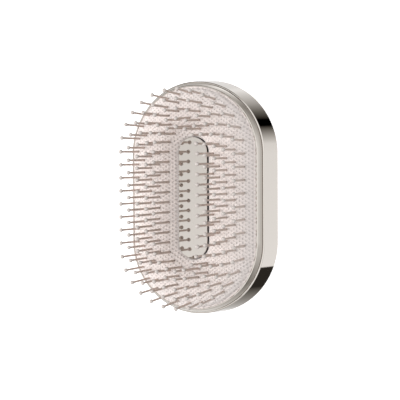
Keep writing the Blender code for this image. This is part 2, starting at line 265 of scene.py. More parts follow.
def rim_radius():
    """Radius of the wall at the seam."""
    sizes = bpy.context.scene.brush_housing
    return SHELL_HIGH.x + sizes.wall_swell - sizes.wall_flare


def rim_straight():
    """Half straight of the wall and the bezel."""
    return SHELL_HIGH.y - SHELL_HIGH.x


def plate_radius():
    """Radius of the centre plate."""
    return PLATE_HIGH.x


def plate_straight():
    """Half straight of the centre plate."""
    return PLATE_HIGH.y - PLATE_HIGH.x


def row_straight():
    """Half straight of the rings of pins."""
    return rim_straight() + bpy.context.scene.brush_pins.row_stretch


def cushion_edges():
    """Radii of the cushion's inner and outer upper edge."""
    gap = bpy.context.scene.brush_cushion.edge_gap
    return plate_radius() + gap, rim_radius() - bpy.context.scene.brush_housing.lip_inset - gap


def crown(radius):
    """Height of the cushion's top surface above the back face."""
    sizes = bpy.context.scene.brush_cushion
    inner, outer = cushion_edges()
    middle = (inner + outer) / 2
    across = np.abs(radius - middle) / (outer - middle)
    rise = (sizes.crown_height - sizes.edge_height) * (1 - across ** sizes.crown_power)
    return seam_height() + sizes.edge_height + rise


def ring_radius(ring):
    """Radius of a ring of pins."""
    pins = bpy.context.scene.brush_pins
    return cushion_edges()[0] + pins.first_margin + ring * pins.row_pitch


# ---------------------------------------------------------------- sweeps and meshes


def lap_stops(arc_steps, straight_steps=1):
    """Stops of a full lap as rows of (share of the half straight, angle)."""
    turns = np.linspace(0, HALF_TURN, arc_steps + 1)
    shares = np.linspace(1, -1, straight_steps + 1)[1:-1]
    shares = np.concatenate([[STRAIGHT_GUARD], shares, [-STRAIGHT_GUARD]])
    top = np.column_stack([np.ones_like(turns), turns])
    left = np.column_stack([shares, np.full_like(shares, HALF_TURN)])
    bottom = np.column_stack([-np.ones_like(turns), HALF_TURN + turns])
    right = np.column_stack([-shares, np.full_like(shares, 2 * HALF_TURN)])
    return np.vstack([top, left, bottom, right])


def arc(start, end, sweep, steps):
    """Points from start to end, both (radius, height), on an arc that turns anticlockwise by sweep."""
    spot = complex(*start)
    chord = complex(*end) - spot
    heading = cmath.phase(chord) - sweep / 2
    side = abs(chord) * math.sin(sweep / (2 * steps)) / math.sin(sweep / 2)
    points = [start]
    for step in range(steps):
        spot += cmath.rect(side, heading + sweep * (step + 0.5) / steps)
        points.append((spot.real, spot.imag))
    return points


def guarded(points):
    """Adds a point close to both ends of each long side, so that smooth shading stays flat along it."""
    result = []
    for here, after in zip(points, points[1:] + points[:1]):
        result.append(here)
        side = complex(*after) - complex(*here)
        if abs(side) > 4 * GUARD:
            step = side / abs(side) * GUARD
            for spot in (complex(*here) + step, complex(*after) - step):
                result.append((spot.real, spot.imag))
    return result


def sweep_lap(section, stops):
    """Vertices and faces of a closed section swept round a full lap."""
    section = np.array(section)
    shares, turns = stops[:, :1], stops[:, 1:]
    across = section[:, 0] * np.cos(turns)
    lengthwise = shares * section[:, 1] + section[:, 0] * np.sin(turns)
    upward = np.broadcast_to(section[:, 2], across.shape)
    points = np.stack([across, lengthwise, upward], axis=-1)
    stop_count, width = across.shape
    here = np.arange(stop_count)[:, None] * width + np.arange(width)[None, :]
    after = np.roll(here, -1, axis=0)
    faces = np.stack([here, after, np.roll(after, -1, axis=1), np.roll(here, -1, axis=1)], axis=-1)
    return points.reshape(-1, 3), faces.reshape(-1, 4)


def new_object(name, data):
    """An object for a mesh, a lamp or a camera, linked to the scene."""
    thing = bpy.data.objects.new(name, data)
    bpy.context.scene.collection.objects.link(thing)
    return thing


def add_piece(name, points, faces, sharp_angle=50, weld=WELD, **layers):
    """Welds, smooths and links a mesh, with a value on each vertex for each layer."""
    mesh = bpy.data.meshes.new(name)
    mesh.from_pydata(points.tolist(), [], faces.tolist())
    for label, values in layers.items():
        mesh.attributes.new(label, "FLOAT", "POINT").data.foreach_set("value", values)
    bm = bmesh.new()
    bm.from_mesh(mesh)
    bmesh.ops.remove_doubles(bm, verts=bm.verts, dist=weld)
    bmesh.ops.recalc_face_normals(bm, faces=bm.faces)
    bm.to_mesh(mesh)
    bm.free()
    mesh.shade_smooth()
    mesh.set_sharp_from_angle(angle=math.radians(sharp_angle))
    return new_object(name, mesh)


def add_lap(name, section, straight):
    """A piece whose section of (radius, height) keeps one half straight all round."""
    section = [(radius, straight, height) for radius, height in guarded(section)]
    return add_piece(name, *sweep_lap(section, lap_stops(SMOOTH_LAP)))


def fix(piece, body, slot, finish, *nodes):
    """Gives a piece its finish and its body, and hides the nodes that it stands for."""
    piece.data.materials.append(finish)
    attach(piece, body)
    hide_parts(*nodes)


# ---------------------------------------------------------------- node helpers


def new_group(name, inputs, outputs):
    """An empty shader node group with its sockets, and its input and output nodes."""
    group = bpy.data.node_groups.new(name, "ShaderNodeTree")
    for label, kind, default in inputs:
        socket = group.interface.new_socket(name=label, in_out="INPUT", socket_type=kind)
        if default is not None:
            socket.default_value = default
    for label, kind in outputs:
        group.interface.new_socket(name=label, in_out="OUTPUT", socket_type=kind)
    return group, group.nodes.new("NodeGroupInput"), group.nodes.new("NodeGroupOutput")


def feed(tree, socket, value):
    """Links a socket to a value, or writes a plain value on it."""
    if isinstance(value, bpy.types.NodeSocket):
        tree.links.new(value, socket)
    else:
        socket.default_value = value


def supply(tree, node, **values):
    """Feeds a node's sockets by name, with _ for each space in a name."""
    for label, value in values.items():
        feed(tree, node.inputs[label.replace("_", " ")], value)
    return node


def calculate(tree, operation, *values, clamp=False):
    """A Math node."""
    node = tree.nodes.new("ShaderNodeMath")
    node.operation = operation
    node.use_clamp = clamp
    for socket, value in zip(node.inputs, values):
        feed(tree, socket, value)
    return node.outputs[0]


def reckon(tree, operation, *values):
    """A Vector Math node; LENGTH gives a number, the other operations a vector."""
    node = tree.nodes.new("ShaderNodeVectorMath")
    node.operation = operation
    for socket, value in zip(node.inputs, values):
        feed(tree, socket, value)
    return node.outputs["Value" if operation == "LENGTH" else "Vector"]


def spread(tree, value, low, high, to_low, to_high, smooth=False):
    """A Map Range node."""
    node = tree.nodes.new("ShaderNodeMapRange")
    node.interpolation_type = "SMOOTHSTEP" if smooth else "LINEAR"
    for socket, given in zip(node.inputs, (value, low, high, to_low, to_high)):
        feed(tree, socket, given)
    return node.outputs["Result"]


def blend_colours(tree, factor, first, second):
    """A mix of two colours."""
    node = tree.nodes.new("ShaderNodeMix")
    node.data_type = "RGBA"
    feed(tree, node.inputs["Factor"], factor)
    feed(tree, node.inputs["A"], first)
    feed(tree, node.inputs["B"], second)
    return node.outputs["Result"]


def toned(tree, tint, tone):
    """A colour times a tone about 1."""
    node = tree.nodes.new("ShaderNodeVectorMath")
    node.operation = "SCALE"
    feed(tree, node.inputs[0], tint)
    feed(tree, node.inputs["Scale"], tone)
    return node.outputs["Vector"]


def bumped(tree, height, distance, **under):
    """The normal of a height, over the Normal given with it if there is one."""
    node = supply(tree, tree.nodes.new("ShaderNodeBump"), Height=height, Distance=distance, **under)
    return node.outputs["Normal"]


def mesh_value(tree, name):
    """The value of one of the mesh's layers."""
    node = tree.nodes.new("ShaderNodeAttribute")
    node.attribute_name = name
    return node.outputs["Fac"]


def opaque(tint, level=1.0):
    """A colour times a level, with full alpha."""
    return (*(value * level for value in tint), 1.0)


def place_group(tree, name, build, **values):
    """A node for the named group, which is built the first time it is asked for."""
    node = tree.nodes.new("ShaderNodeGroup")
    node.node_tree = bpy.data.node_groups.get(name) or build(name)
    return supply(tree, node, **values)


# ---------------------------------------------------------------- shared effects

PIT_FLOOR = 0.35
FULL_AT_EDGE, HALF_AT_EDGE = 1.0, 0.5


def build_handling_marks(name):
    """Faint, broad smears of handling: a value that wanders about a middle."""
    group, given, result = new_group(
        name,
        [("Vector", "NodeSocketVector", None), ("Scale", "NodeSocketFloat", 40.0),
         ("Middle", "NodeSocketFloat", 0.04), ("Amount", "NodeSocketFloat", 0.02)],
        [("Value", "NodeSocketFloat")])
    noise = supply(group, group.nodes.new("ShaderNodeTexNoise"), Vector=given.outputs["Vector"],
                   Scale=given.outputs["Scale"], Detail=5.0, Roughness=0.6, Distortion=0.6)
    swing = calculate(group, "MULTIPLY_ADD", noise.outputs["Fac"], 2.0, -1.0)
    swing = calculate(group, "MULTIPLY", swing, given.outputs["Amount"])
    supply(group, result, Value=calculate(group, "ADD", swing, given.outputs["Middle"]))
    return group


def build_moulded_grain(name):
    """The fine grain of moulded plastic or rubber, as a height from 0 to 1 and a tone about 1."""
    group, given, result = new_group(
        name,
        [("Vector", "NodeSocketVector", None), ("Scale", "NodeSocketFloat", 2500.0),
         ("Tone Amount", "NodeSocketFloat", 0.05)],
        [("Height", "NodeSocketFloat"), ("Tone", "NodeSocketFloat")])
    noise = supply(group, group.nodes.new("ShaderNodeTexNoise"), Vector=given.outputs["Vector"],
                   Scale=given.outputs["Scale"], Detail=3.0)
    swing = calculate(group, "MULTIPLY_ADD", noise.outputs["Fac"], 2.0, -1.0)
    tone = calculate(group, "MULTIPLY_ADD", swing, given.outputs["Tone Amount"], 1.0)
    supply(group, result, Height=noise.outputs["Fac"], Tone=tone)
    return group


def build_pit_lattice(name):
    """Round pits moulded in staggered columns, seen from above: a mask, which places painted shade in the
    pits, and a height.
    """
    group, given, result = new_group(
        name,
        [("Vector", "NodeSocketVector", None), ("Column", "NodeSocketFloat", 2.33 * MM),
         ("Row", "NodeSocketFloat", 1.77 * MM), ("Radius", "NodeSocketFloat", 0.45 * MM)],
        [("Mask", "NodeSocketFloat"), ("Height", "NodeSocketFloat")])
    flat = reckon(group, "MULTIPLY", given.outputs["Vector"], (1.0, 1.0, 0.0))
    cell = supply(group, group.nodes.new("ShaderNodeCombineXYZ"), X=given.outputs["Column"],
                  Y=given.outputs["Row"], Z=1.0).outputs[0]
    high = reckon(group, "MULTIPLY", cell, (0.5, 0.5, 0.5))
    low = reckon(group, "MULTIPLY", cell, (-0.5, -0.5, -0.5))
    corner_pit = reckon(group, "LENGTH", reckon(group, "WRAP", flat, high, low))
    moved = reckon(group, "SUBTRACT", flat, reckon(group, "MULTIPLY", cell, (0.5, 0.5, 0.0)))
    middle_pit = reckon(group, "LENGTH", reckon(group, "WRAP", moved, high, low))
    nearest = calculate(group, "MINIMUM", corner_pit, middle_pit)
    away = calculate(group, "DIVIDE", nearest, given.outputs["Radius"])
    mask = spread(group, away, PIT_FLOOR, 1.0, 1.0, 0.0, smooth=True)
    supply(group, result, Mask=mask, Height=calculate(group, "SUBTRACT", 1.0, mask))
    return group


def build_studio_card(name):
    """A soft-edged patch of the studio round the brush: 1 inside its turn and tilt, 0 outside, in degrees."""
    group, given, result = new_group(
        name,
        [("Turn", "NodeSocketFloat", 0.0), ("Tilt", "NodeSocketFloat", 0.0),
         ("Centre", "NodeSocketFloat", 0.0), ("Half Width", "NodeSocketFloat", 10.0),
         ("Soft Before", "NodeSocketFloat", 10.0), ("Soft After", "NodeSocketFloat", 10.0),
         ("Low", "NodeSocketFloat", 0.0), ("High", "NodeSocketFloat", 180.0),
         ("Soft Low", "NodeSocketFloat", 10.0), ("Soft High", "NodeSocketFloat", 10.0)],
        [("Mask", "NodeSocketFloat")])
    turn, tilt, half = (given.outputs[label] for label in ("Turn", "Tilt", "Half Width"))
    away = calculate(group, "SUBTRACT", turn, given.outputs["Centre"])
    away = calculate(group, "WRAP", away, 180.0, -180.0)
    edges = (
        ("Soft Before", calculate(group, "ADD", away, half), FULL_AT_EDGE),
        ("Soft After", calculate(group, "SUBTRACT", half, away), FULL_AT_EDGE),
        ("Soft Low", calculate(group, "SUBTRACT", tilt, given.outputs["Low"]), HALF_AT_EDGE),
        ("Soft High", calculate(group, "SUBTRACT", given.outputs["High"], tilt), HALF_AT_EDGE),
    )
    mask = 1.0
    for softness, inside, at_edge in edges:
        ramp = calculate(group, "DIVIDE", inside, given.outputs[softness])
        ramp = calculate(group, "ADD", ramp, at_edge, clamp=True)
        mask = calculate(group, "MULTIPLY", mask, ramp)
    supply(group, result, Mask=mask)
    return group


# ---------------------------------------------------------------- finishes

MARK_SCALE = 45.0
STAIN_SCALE, STAIN_AMOUNT = 18.0, 0.012
RUBBER_GRAIN_DEPTH = 0.01 * MM
# Painted shade in the pits: how much of it a pit's middle shows, and the level of the rubber colour under it.
PIT_PAINTED_SHADE, PIT_PAINTED_SHADE_LEVEL = 0.3, 0.72
# Level of the pin colour under the painted shade at a pin's foot and under its ball.
PAINTED_SHADE_LEVEL = 0.7
SHAFT_ROUGHNESS, BALL_ROUGHNESS = 0.38, 0.25
FLOOR_TINT = (0.86, 0.86, 0.86)
WHITE = (1.0, 1.0, 1.0, 1.0)


def new_finish(name):
    """A material, its tree, its Principled shader and the object coordinates."""
    finish = bpy.data.materials.new(name)
    finish.use_nodes = True
    tree = finish.node_tree
    where = tree.nodes.new("ShaderNodeTexCoord").outputs["Object"]
    return finish, tree, tree.nodes["Principled BSDF"], where


def polished_metal(name, tint, roughness, wander):
    """Mirror-like metal whose roughness and tone wander with faint handling marks."""
    finish, tree, shader, where = new_finish(name)
    marks = place_group(tree, "handling marks", build_handling_marks,
                        Vector=where, Scale=MARK_SCALE, Middle=roughness, Amount=wander)
    stains = place_group(tree, "handling marks", build_handling_marks,
                         Vector=where, Scale=STAIN_SCALE, Middle=1.0, Amount=STAIN_AMOUNT)
    supply(tree, shader, Base_Color=toned(tree, tint, stains.outputs["Value"]),
           Roughness=marks.outputs["Value"], Metallic=1.0)
    return finish


def moulded_plastic(name, tint, roughness, grain_depth):
    """Moulded plastic with a fine grain."""
    finish, tree, shader, where = new_finish(name)
    grain = place_group(tree, "moulded grain", build_moulded_grain, Vector=where)
    supply(tree, shader, Base_Color=toned(tree, tint, grain.outputs["Tone"]), Roughness=roughness,
           Normal=bumped(tree, grain.outputs["Height"], grain_depth))
    return finish


def pitted_rubber(name):
    """Soft rubber with moulded pits over a fine grain, and painted shade in the pits."""
    sizes, tints = bpy.context.scene.brush_cushion, bpy.context.scene.brush_finish
    finish, tree, shader, where = new_finish(name)
    pits = place_group(tree, "pit lattice", build_pit_lattice, Vector=where,
                       Column=sizes.pit_column, Row=sizes.pit_row, Radius=sizes.pit_radius)
    grain = place_group(tree, "moulded grain", build_moulded_grain, Vector=where,
                        Scale=1800.0, Tone_Amount=0.04)
    open_rubber = toned(tree, tints.rubber, grain.outputs["Tone"])
    # Painted shade in the pits, darker towards each pit's middle.
    pit_painted_shade = calculate(tree, "MULTIPLY", pits.outputs["Mask"], PIT_PAINTED_SHADE)
    fine = bumped(tree, grain.outputs["Height"], RUBBER_GRAIN_DEPTH)
    supply(tree, shader,
           Base_Color=blend_colours(tree, pit_painted_shade, open_rubber, opaque(tints.rubber, PIT_PAINTED_SHADE_LEVEL)),
           Normal=bumped(tree, pits.outputs["Height"], sizes.pit_depth, Normal=fine),
           Roughness=0.62, Specular_IOR_Level=0.35)
    return finish


def satin_nylon(name):
    """Satin nylon: a taupe shaft with painted shade at its foot and under the ball, that pales into the
    polished ball tip, whose paler colour partly paints the balls' highlight.
    """
    tints = bpy.context.scene.brush_finish
    finish, tree, shader, where = new_finish(name)
    grain = place_group(tree, "moulded grain", build_moulded_grain, Vector=where,
                        Scale=3000.0, Tone_Amount=0.03)
    ball = mesh_value(tree, "ball_share")
    # Blending into the paler tip colour partly paints the balls' highlight.
    shaft = blend_colours(tree, ball, opaque(tints.pin), opaque(tints.tip_with_painted_highlight))
    # Painted shade at the pin's foot and in a band under its ball.
    shaft = blend_colours(tree, mesh_value(tree, "foot_share"), shaft, opaque(tints.pin, PAINTED_SHADE_LEVEL))
    supply(tree, shader, Base_Color=toned(tree, shaft, grain.outputs["Tone"]),
           Roughness=spread(tree, ball, 0.0, 1.0, SHAFT_ROUGHNESS, BALL_ROUGHNESS),
           Specular_IOR_Level=0.85)
    return finish


def pale_floor(name, level):
    """The matt studio floor, with some light of its own for the camera alone."""
    finish, tree, shader, where = new_finish(name)
    grain = place_group(tree, "moulded grain", build_moulded_grain, Vector=where,
                        Scale=400.0, Tone_Amount=0.01)
    seen = tree.nodes.new("ShaderNodeLightPath").outputs["Is Camera Ray"]
    supply(tree, shader, Base_Color=toned(tree, FLOOR_TINT, grain.outputs["Tone"]), Roughness=0.9,
           Specular_IOR_Level=0.0, Emission_Color=WHITE,
           Emission_Strength=calculate(tree, "MULTIPLY", seen, level))
    return finish


# ---------------------------------------------------------------- pieces


def pin_places():
    """Every pin as (ring, share of the half straight, angle, radius)."""
    sizes = bpy.context.scene.brush_pins
    straight = row_straight()
    places = []
    for ring in range(RING_COUNT):
        radius = ring_radius(ring)
        half_lap = HALF_TURN * radius
        lap = 4 * straight + 2 * half_lap
        pins = sizes.first_ring + ring * sizes.added
        counted = 2 * straight / sizes.pitch_shares[ring]
        steps = (np.arange(pins) + sizes.phase) * 2 * (half_lap + counted) / pins
        distances = np.interp(
            steps, np.cumsum([-half_lap / 2] + [half_lap, counted] * 2 + [half_lap]),
            np.cumsum([straight] + [half_lap, 2 * straight] * 2 + [half_lap]))
        for distance in distances % lap:
            if distance < straight:
                spot = (distance / straight, 0.0)
            elif distance < straight + half_lap:
                spot = (1.0, (distance - straight) / radius)
            elif distance < 3 * straight + half_lap:
                spot = (1 - (distance - straight - half_lap) / straight, HALF_TURN)
            elif distance < 3 * straight + 2 * half_lap:
                spot = (-1.0, HALF_TURN + (distance - 3 * straight - half_lap) / radius)
            else:
                spot = ((distance - lap) / straight, 2 * HALF_TURN)
            places.append((ring, *spot, radius))
    return places


def foot_of(place):
    """Where a pin leaves the cushion."""
    _, spot, turn, radius = place
    return Vector((radius * math.cos(turn), spot * row_straight() + radius * math.sin(turn),
                   crown(radius)))


class BRUSH_OT_shell(bpy.types.Operator):
    """Builds the flared side wall and the flat back in one skin"""
    bl_idname = "brush.shell"
    bl_label = "Back Shell"

    back_steps, seam_steps = 14, 6

    def execute(self, context):
        sizes = context.scene.brush_housing
        rim, top = rim_radius(), seam_height()
        wall, back = SHELL_HIGH.x + sizes.wall_swell, sizes.back_rounding
        edge = sizes.seam_rounding
        ledge, groove = rim - edge - sizes.seam_land, top - sizes.seam_groove
        section = [(0.0, 0.0)]
        section += arc((wall - back, 0.0), (wall, back), QUARTER_TURN, self.back_steps)
        section += arc((rim, top - edge), (rim - edge, top), QUARTER_TURN, self.seam_steps)
        section += [(ledge, top), (ledge, groove), (rim - sizes.wall_thickness, groove),
                    (wall - sizes.wall_thickness, sizes.floor_thickness),
                    (0.0, sizes.floor_thickness)]
        shell = add_lap("back_shell_skin", section, rim_straight())
        finish = polished_metal("polished shell", context.scene.brush_finish.shell,
                                roughness=0.035, wander=0.01)
        fix(shell, "housing", "housing_metal", finish, "back_shell")
        return {"FINISHED"}


class BRUSH_OT_bezel(bpy.types.Operator):
    """Builds the steep, slightly rounded bezel with its rolled crest"""
    bl_idname = "brush.bezel"
    bl_label = "Bezel"

    foot_steps, flank_steps, crest_steps, lip_steps = 8, 16, 10, 4

    def execute(self, context):
        sizes, rubber = context.scene.brush_housing, context.scene.brush_cushion
        seam, top = seam_height(), BEZEL_HIGH.z
        outside, bottom = BEZEL_HIGH.x, seam + sizes.skirt_gap
        lip = rim_radius() - sizes.lip_inset + sizes.lip_shift
        foot, edge = sizes.foot_rounding, sizes.lip_rounding
        roll, tilt = sizes.crest_rounding, sizes.shoulder_tilt
        shoulder = (lip + roll + roll * math.sin(tilt), top - roll + roll * math.cos(tilt))
        start = (outside, bottom + foot)
        flank = math.atan2(shoulder[1] - start[1], start[0] - shoulder[0])
        section = arc((outside - foot, bottom), start, QUARTER_TURN, self.foot_steps)
        section += arc(start, shoulder, 2 * (flank - tilt), self.flank_steps)[1:]
        section += arc(shoulder, (lip + roll, top), tilt, self.crest_steps)[1:]
        section += arc((lip + edge, top), (lip, top - edge), QUARTER_TURN, self.lip_steps)
        lip_bottom = seam + rubber.bead_top + sizes.skirt_gap
        skirt_inner = lip - sizes.lip_shift - rubber.edge_gap + rubber.bead_width + sizes.skirt_gap
        skirt_outer = rim_radius() - sizes.wall_thickness - sizes.skirt_gap
        skirt_bottom = seam - sizes.skirt_depth
        section += [(lip, lip_bottom), (skirt_inner, lip_bottom), (skirt_inner, skirt_bottom),
                    (skirt_outer, skirt_bottom), (skirt_outer, bottom)]
        bezel = add_lap("bezel_skin", section, rim_straight())
        finish = polished_metal("polished bezel", context.scene.brush_finish.bezel,
                                roughness=0.05, wander=0.01)
        fix(bezel, "housing", "bezel_metal", finish, "bezel_ring")
        return {"FINISHED"}


class BRUSH_OT_plate(bpy.types.Operator):
    """Builds the mirror-polished centre plate and finishes the dark boss under it"""
    bl_idname = "brush.plate"
    bl_label = "Centre Plate"

    edge_steps = 8

    def execute(self, context):
        tints = context.scene.brush_finish
        edge = context.scene.brush_plate.edge_rounding
        radius, top, bottom = plate_radius(), PLATE_HIGH.z, PLATE_LOW.z
        section = [(0.0, bottom), (radius, bottom)]
        section += arc((radius, top - edge), (radius - edge, top), QUARTER_TURN, self.edge_steps)
        section += [(0.0, top)]
        plate = add_lap("mirror_plate", section, plate_straight())
        finish = polished_metal("mirror plate", tints.plate, roughness=0.03, wander=0.008)
        fix(plate, "housing", "plate_metal", finish, "centre_plate")
        frame["nodes"]["centre_boss"].material_slots[0].material = moulded_plastic(
            "boss plastic", tints.boss, roughness=0.35, grain_depth=0.01 * MM)
        return {"FINISHED"}


class BRUSH_OT_cushion(bpy.types.Operator):
    """Builds the crowned rubber cushion with its drawn-in sides, beads and a dimple round each pin"""
    bl_idname = "brush.cushion"
    bl_label = "Cushion"

    crown_steps, edge_steps, under_steps = 96, 4, 24
    lap_steps = (190, 120)
    edge_turn = -HALF_TURN * 0.3
    side_drop = 0.6
    under_inset = 4 * MM
    blend_share = 0.7
    dimple_reach, dimple_layer = 3, 2 * MM

    def straight_at(self, radius):
        """Half straight at a radius: the plate's inside, the pins' between, the rim's outside."""
        inner, outer = cushion_edges()
        reach = bpy.context.scene.brush_pins.first_margin * self.blend_share
        inward = np.clip((radius - inner) / reach, 0, 1)
        outward = np.clip((outer - radius) / reach, 0, 1)
        inward, outward = (value * value * (3 - 2 * value) for value in (inward, outward))
        rows = row_straight()
        return (rows + (plate_straight() - rows) * (1 - inward)
                + (rim_straight() - rows) * (1 - outward))

    def section(self):
        """The closed section, from the inner edge over the crown and back under the rubber."""
        sizes = bpy.context.scene.brush_cushion
        inner, outer = cushion_edges()
        seam, edge = seam_height(), sizes.edge_rounding
        bead_top = seam + sizes.bead_top
        bead_bottom = bead_top - sizes.bead_height
        brim = outer + sizes.edge_gap - sizes.lip_gap + bpy.context.scene.brush_housing.lip_shift
        side = seam + sizes.edge_height - edge * self.side_drop
        top = [(radius, crown(radius))
               for radius in np.linspace(inner + edge, outer - edge / 2, self.crown_steps)]
        points = arc((inner, side), top[0], self.edge_turn, self.edge_steps)[:-1] + top
        points += arc(top[-1], (brim, side + sizes.lip_rise), self.edge_turn, self.edge_steps)[1:]
        points += [(outer - sizes.draw_in, bead_top), (outer + sizes.bead_width, bead_top),
                   (outer + sizes.bead_width, bead_bottom), (outer - sizes.foot_width, bead_bottom)]
        under = np.linspace(outer - self.under_inset, inner + self.under_inset, self.under_steps)
        points += [(radius, crown(radius) - sizes.thickness) for radius in under]
        points += [(inner + sizes.foot_width, bead_bottom), (inner - sizes.bead_width, bead_bottom),
                   (inner - sizes.bead_width, bead_top), (inner + sizes.draw_in, bead_top)]
        return [(radius, float(self.straight_at(radius)), height) for radius, height in points]

    def execute(self, context):
        sizes, seam = context.scene.brush_cushion, seam_height()
        points, faces = sweep_lap(self.section(), lap_stops(*self.lap_steps))
        upper = points[:, 2] > seam + sizes.edge_height
        for place in pin_places():
            foot = foot_of(place)
            away = np.hypot(points[:, 0] - foot.x, points[:, 1] - foot.y)
            near = (upper & (away < self.dimple_reach * sizes.dimple_width)
                    & (np.abs(points[:, 2] - foot.z) < self.dimple_layer))
            points[near, 2] -= sizes.dimple_depth * np.exp(-(away[near] / sizes.dimple_width) ** 2)
        cushion = add_piece("rubber_cushion", points, faces, 60)
        fix(cushion, "housing", "cushion_rubber", pitted_rubber("pitted rubber"), "cushion")
        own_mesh(cushion)
        return {"FINISHED"}


class BRUSH_OT_pins(bpy.types.Operator):
    """Builds the rings of ball-tipped pins"""
    bl_idname = "brush.pins"
    bl_label = "Pins"

    sides, ball_steps = 16, 12
    foot_top, shaft_bottom, shaft_start = 0.15 * MM, 0.7 * MM, 0.99
    shaft_stops = (0.25, 0.5, 0.75, 0.9)
    # Painted shade under the ball: the height of the band and how much painted shade it takes.
    neck_shadow, neck_dark = 0.12 * MM, 0.8

    def profile(self, height):
        """(radius, height, share of the ball, share of the painted shade at the foot and under the ball) from
        root to ball's top.
        """
        sizes = bpy.context.scene.brush_pins
        base, neck, ball = (size / 2 for size in (
            sizes.base_diameter, sizes.neck_diameter, sizes.ball_diameter))
        start = math.asin(neck / ball)
        neck_height = height - ball * math.cos(start)
        # The root and foot take full painted shade where the pin meets the rubber; the neck takes a band of
        # painted shade under the ball.
        rows = [(0.0, -sizes.root, 0.0, 1.0), (base, -sizes.root, 0.0, 1.0),
                (base, self.foot_top, 0.0, 1.0), (base * self.shaft_start, self.shaft_bottom, 0.0, 0.0)]
        rows += [(base + (neck - base) * stop, neck_height * stop, 0.0, 0.0)
                 for stop in self.shaft_stops]
        rows += [(neck, neck_height - self.neck_shadow, 0.0, self.neck_dark)]
        rows += [(ball * math.sin(turn), height + ball * math.cos(turn), 1.0, 0.0)
                 for turn in np.linspace(HALF_TURN - start, 0, self.ball_steps)]
        return np.array(rows)

    def pin(self, place, first):
        """One pin's points, its faces counted from first, and its profile's two shares on each point."""
        sizes = bpy.context.scene.brush_pins
        ring, _, turn, _ = place
        foot = foot_of(place)
        profile = self.profile(seam_height() + sizes.tip_height * sizes.tip_shares[ring] - foot.z)
        around = np.linspace(0, 2 * HALF_TURN, self.sides, endpoint=False)
        shape = np.stack([profile[:, :1] * np.cos(around), profile[:, :1] * np.sin(around),
                          np.broadcast_to(profile[:, 1:2], (len(profile), self.sides))], axis=-1)
        upright = Vector((0, 0, 1))
        axis = upright + Vector((math.cos(turn), math.sin(turn), 0)) * sizes.leans[ring]
        lean = np.array(upright.rotation_difference(axis).to_matrix())
        rows = first + np.arange(len(profile) - 1)[:, None] * self.sides
        here = rows + np.arange(self.sides)
        beside = rows + np.roll(np.arange(self.sides), -1)
        faces = np.stack([here, beside, beside + self.sides, here + self.sides], axis=-1)
        return (shape.reshape(-1, 3) @ lean.T + np.array(foot), faces.reshape(-1, 4),
                np.repeat(profile[:, 2], self.sides), np.repeat(profile[:, 3], self.sides))

    def execute(self, context):
        finish = satin_nylon("satin nylon")
        places = pin_places()
        for ring in range(RING_COUNT):
            pins = []
            for place in places:
                if place[0] == ring:
                    pins.append(self.pin(place, sum(len(points) for points, *_ in pins)))
            points, faces, balls, painted_shades = (np.concatenate(values) for values in zip(*pins))
            # Each vertex carries its share of the ball and of the painted shade.
            piece = add_piece(f"pin_ring_{ring + 1}_pins", points, faces, 60, PIN_WELD,
                              ball_share=balls, foot_share=painted_shades)
            rows = [f"pin_row_{ring + 1}_{end}" for end in ROW_ENDS]
            fix(piece, f"pin_ring_{ring + 1}", "pin_nylon", finish, *rows)
        return {"FINISHED"}


class BRUSH_OT_inside(bpy.types.Operator):
    """Finishes the hidden frame and the screws of the boss"""
    bl_idname = "brush.inside"
    bl_label = "Hidden Parts"

    def execute(self, context):
        tints = context.scene.brush_finish
        plastic = moulded_plastic("frame plastic", tints.frame, roughness=0.5, grain_depth=0.02 * MM)
        steel = polished_metal("screw steel", tints.steel, roughness=0.3, wander=0.06)
        for name, finish in (("pad_frame", plastic), ("boss_screw_1", steel), ("boss_screw_2", steel)):
            frame["nodes"][name].material_slots[0].material = finish
        return {"FINISHED"}


# ---------------------------------------------------------------- stage

KEY_HEADING = (-0.78, 0.0, 0.62)
TOP_HEADING = (-0.20, 0.0, 0.98)
SENSOR_WIDTH = 36.0

# How fast red, green and blue fall where a card takes light: the darker patches are slightly warm.
FALL = (1.0, 1.03, 1.08)

# Soft cards round the brush: turn of the centre, half width, softness before and after, the tilts from
# straight up between which the card stands, the softness at each, and how much light it takes or adds.
CARDS = (
    (-62.0, 16.8, 76.6, 1.6, 144.5, 200.0, 11.2, 6.0, -0.97),
    (46.5, 5.0, 27.3, 61.7, 142.0, 200.0, 8.6, 6.0, -1.0),
    (59.4, 1.4, 77.4, 36.9, 96.0, 145.3, 10.0, 6.4, -0.62),
    (56.5, 7.5, 57.2, 15.4, 127.7, 156.1, 21.7, 16.4, -0.34),
    (-54.3, 0.7, 69.6, 72.2, 96.0, 142.6, 10.0, 2.9, -0.72),
    (-47.1, 4.0, 11.8, 15.7, 90.0, 113.2, 14.0, 13.1, -0.47),
    (100.3, 12.0, 10.3, 20.0, 96.0, 117.0, 16.0, 15.9, -0.11),
    (136.2, 14.0, 20.1, 40.0, 100.0, 150.0, 6.0, 4.4, -0.33),
    (108.0, 31.0, 15.0, 25.0, 38.0, 98.0, 10.0, 10.0, -0.92),
    (-10.0, 60.0, 12.0, 25.0, 35.0, 94.0, 10.0, 10.0, 0.25),
    (151.3, 10.2, 19.4, 31.3, -20.0, 59.9, 10.0, 10.0, -0.33),
    (-115.0, 35.0, 25.0, 20.0, 38.0, 98.0, 10.0, 10.0, -0.55),
    (-0.6, 11.3, 6.1, 23.9, 118.2, 143.0, 23.3, 8.0, -0.03),
    (94.0, 8.5, 11.1, 10.2, 131.3, 149.1, 12.1, 5.0, 0.31),
    (2.9, 3.9, 7.5, 23.2, 88.0, 117.0, 8.0, 20.5, 0.35),
    (135.0, 12.0, 12.0, 30.0, 143.0, 200.0, 6.0, 6.0, -0.14),
    (-118.0, 14.0, 14.0, 20.0, 143.0, 200.0, 6.0, 6.0, -0.17),
    (182.0, 18.0, 14.0, 14.0, 44.0, 66.0, 10.0, 10.0, 1.6),
    (122.0, 10.0, 12.0, 20.0, 112.0, 143.0, 12.0, 8.0, -0.12),
)


